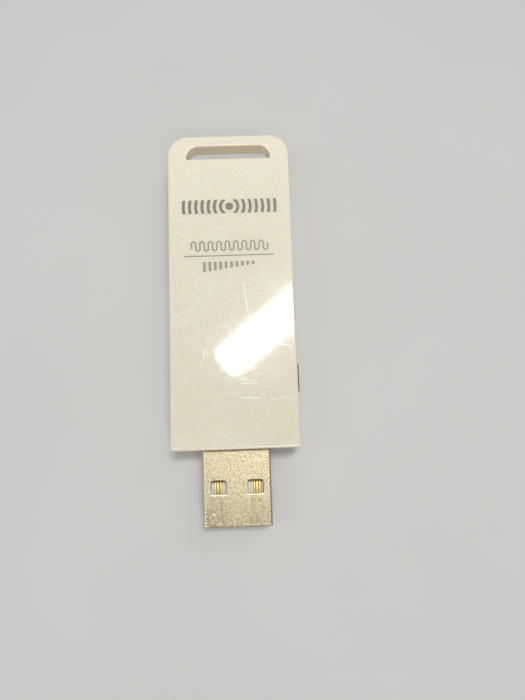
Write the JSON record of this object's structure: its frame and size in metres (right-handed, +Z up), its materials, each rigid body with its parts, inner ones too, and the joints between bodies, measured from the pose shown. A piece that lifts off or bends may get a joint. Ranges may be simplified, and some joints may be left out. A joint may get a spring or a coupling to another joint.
{
  "type": "usb wifi adapter",
  "caption": "Flat stick-shaped wireless network adapter with a USB type A plug at one end, a strap slot at the other and a push key in its side.",
  "frame": {"origin": "on the flat underside, at the middle of the whole length (plug included) and of the housing's width", "axes": "+Z up out of the printed face with the adapter lying on its underside; +Y along the stick from the plug's mouth to the strap slot; +X towards the push key's side"},
  "size_m": [0.0232, 0.072, 0.0085],
  "materials": {
    "shell_plastic": "glossy cream-white moulded plastic with fine rub marks",
    "print_ink": "dark warm grey pad print, satin",
    "label_film": "blank satin film label",
    "button_plastic": "fine-grained warm grey plastic",
    "clear_plastic": "milky translucent light guide, satin",
    "lamp_resin": "clear resin lamp",
    "plug_steel": "nickel-plated stamped steel, satin and slightly mottled",
    "insulator_plastic": "moulded white plastic, satin",
    "contact_gold": "gold-plated contact strip, polished",
    "board_laminate": "green solder resist on glass laminate, semi-gloss",
    "antenna_copper": "gold-flashed copper trace",
    "chip_resin": "black moulding resin, matte",
    "can_metal": "nickel can, satin",
    "ferrite": "dark grey ferrite, matte",
    "filter_ceramic": "pale fired ceramic, satin",
    "socket_plating": "gold-plated socket",
    "capacitor_ceramic": "tan fired ceramic, satin",
    "resistor_film": "black glazed film, semi-gloss",
    "tin_plating": "matte tin plating and solder",
    "switch_resin": "black moulded resin, satin",
    "switch_steel": "spring steel, satin"
  },
  "bodies": {
    "housing": {"top_cover": "shell_plastic", "bottom_cover": "shell_plastic", "printed_mark": "print_ink", "rating_label": "label_film", "led_light_guide": "clear_plastic", "status_led": "lamp_resin", "usb_shell": "plug_steel", "usb_insulator": "insulator_plastic", "usb_power_contacts": "contact_gold", "usb_data_contacts": "contact_gold", "circuit_board": "board_laminate", "printed_antenna": "antenna_copper", "radio_chip": "chip_resin", "radio_chip_pins": "tin_plating", "crystal_oscillator": "can_metal", "power_inductor": "ferrite", "voltage_regulator": "chip_resin", "esd_protector": "chip_resin", "rf_filter": "filter_ceramic", "antenna_test_socket": "socket_plating", "ceramic_capacitors": "capacitor_ceramic", "chip_resistors": "resistor_film", "ferrite_beads": "ferrite", "chip_end_caps": "tin_plating", "solder_fillets": "tin_plating", "switch_base": "switch_resin", "switch_cover": "switch_steel", "switch_dome": "switch_steel", "switch_terminals": "tin_plating"},
    "push_key": {"side_button": "button_plastic"},
    "plunger": {"switch_plunger": "switch_resin"}
  },
  "joints": [
    {"name": "button_press", "type": "slide", "parent": "housing", "child": "push_key", "axis": [-1, 0, 0], "range_m": [0, 0.0003], "stiffness_N_per_m": 4000},
    {"name": "plunger_slide", "type": "slide", "parent": "housing", "child": "plunger", "axis": [-1, 0, 0], "range_m": [0, 0.0003], "deforming": ["switch_dome"]}
  ],
  "couplings": [
    {"joint": "plunger_slide", "follows": "button_press", "ratio": 1}
  ]
}
